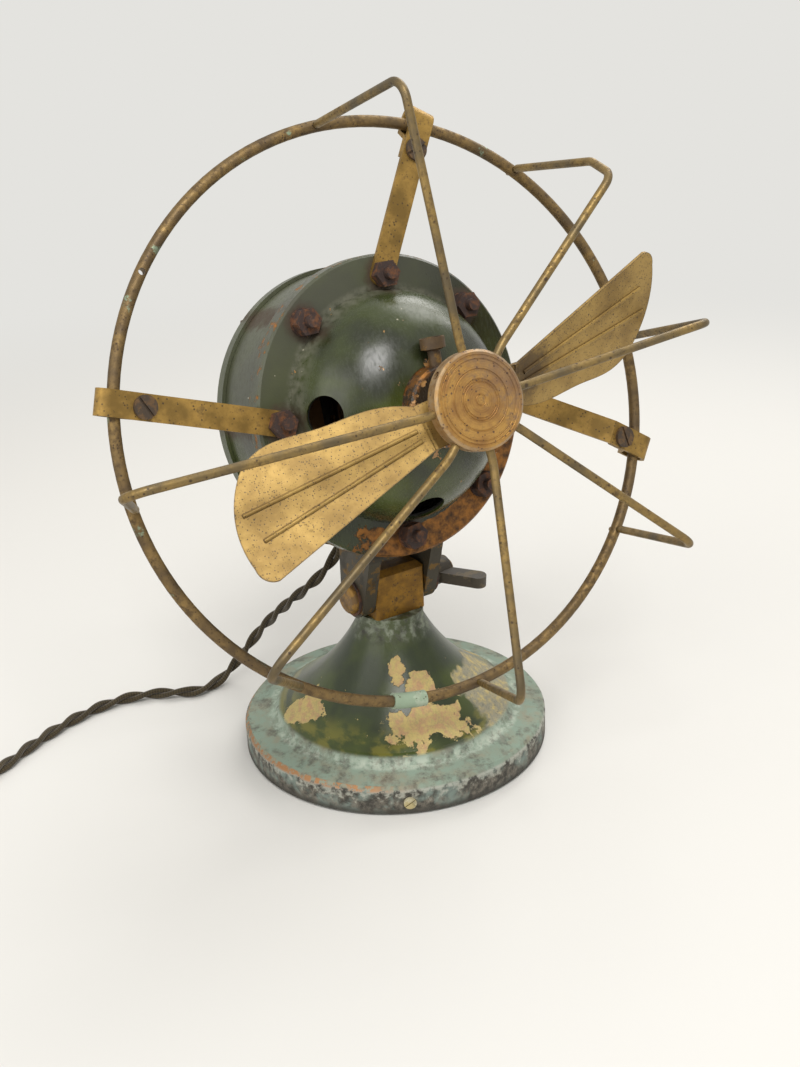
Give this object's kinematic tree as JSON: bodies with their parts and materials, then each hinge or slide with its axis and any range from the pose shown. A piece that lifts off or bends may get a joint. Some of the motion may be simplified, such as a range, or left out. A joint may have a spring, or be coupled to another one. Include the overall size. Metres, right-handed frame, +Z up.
{
  "type": "desk_fan",
  "caption": "Antique desk fan: brass propeller, bent wire guard, motor that tilts on a trumpet base, twisted cloth cord.",
  "frame": {"origin": "on the table under the middle of the round base", "axes": "+Z up, the fan faces -Y, +X is the wing nut's side"},
  "size_m": [0.4292, 0.2497, 0.2835],
  "materials": {
    "green_enamel": "worn glossy enamel",
    "worn_brass": "aged, spotted",
    "dark_brass": "dark patina",
    "rusty_steel": "rusted",
    "plain_steel": "dull",
    "dark_iron": "worn paint",
    "laminations": "laminated",
    "wire_turns": "varnished cotton",
    "fibre_board": "hard fibre",
    "carbon": "carbon",
    "copper": "copper",
    "felt": "felt",
    "cord_cloth": "braided cloth",
    "black_moulding": "moulded"
  },
  "bodies": {
    "base": {"base_shell": "green_enamel", "base_weight": "dark_iron", "felt_pad": "felt", "rim_screws": "plain_steel", "post_block": "worn_brass", "post_stud": "plain_steel", "post_nut": "plain_steel", "power_cord": "cord_cloth", "cord_coil": "cord_cloth", "cord_tail": "cord_cloth", "plug_body": "black_moulding", "plug_pins": "worn_brass"},
    "head": {"front_shell": "green_enamel", "motor_drum": "green_enamel", "rear_shell": "green_enamel", "housing_studs": "rusty_steel", "front_washers": "rusty_steel", "front_nuts": "rusty_steel", "rear_nuts": "rusty_steel", "front_bush": "dark_brass", "rear_bush": "dark_brass", "front_oil_cup": "dark_brass", "rear_oil_cup": "dark_brass", "field_core": "laminations", "field_coils": "wire_turns", "brush_yoke": "fibre_board", "brush_holders": "worn_brass", "brushes": "carbon", "guard_ring": "worn_brass", "ring_ferrule": "dark_brass", "guard_hub": "worn_brass", "strap_screws": "dark_brass", "strap_nuts": "dark_brass", "tilt_fork": "dark_iron", "fork_screws": "plain_steel", "tilt_bolt": "dark_brass", "lug_washers": "rusty_steel", "cord_bushing": "black_moulding", "guard_wire_1": "worn_brass", "guard_wire_2": "worn_brass", "guard_wire_3": "worn_brass", "guard_wire_4": "worn_brass", "guard_wire_5": "worn_brass", "guard_wire_6": "worn_brass", "guard_wire_7": "worn_brass", "strap_top": "worn_brass", "strap_left": "worn_brass", "strap_right": "worn_brass"},
    "rotor": {"rotor_shaft": "plain_steel", "armature_core": "laminations", "armature_winding": "wire_turns", "commutator": "copper", "propeller_collar": "dark_brass", "collar_screw": "plain_steel", "propeller": "worn_brass"},
    "nut": {"wing_nut": "dark_brass"}
  },
  "joints": [
    {"name": "head_tilt", "type": "hinge", "parent": "base", "child": "head", "pos_m": [0, 0, 0.072], "axis": [1, 0, 0], "range_deg": [-45, 10], "deforming": ["power_cord"]},
    {"name": "propeller_spin", "type": "hinge", "parent": "head", "child": "rotor", "pos_m": [0, -0.01203, 0.15601], "axis": [0, -0.9703, 0.2419], "continuous": true},
    {"name": "wing_nut_turn", "type": "hinge", "parent": "head", "child": "nut", "pos_m": [0, 0, 0.072], "axis": [1, 0, 0], "range_deg": [0, 360]}
  ]
}
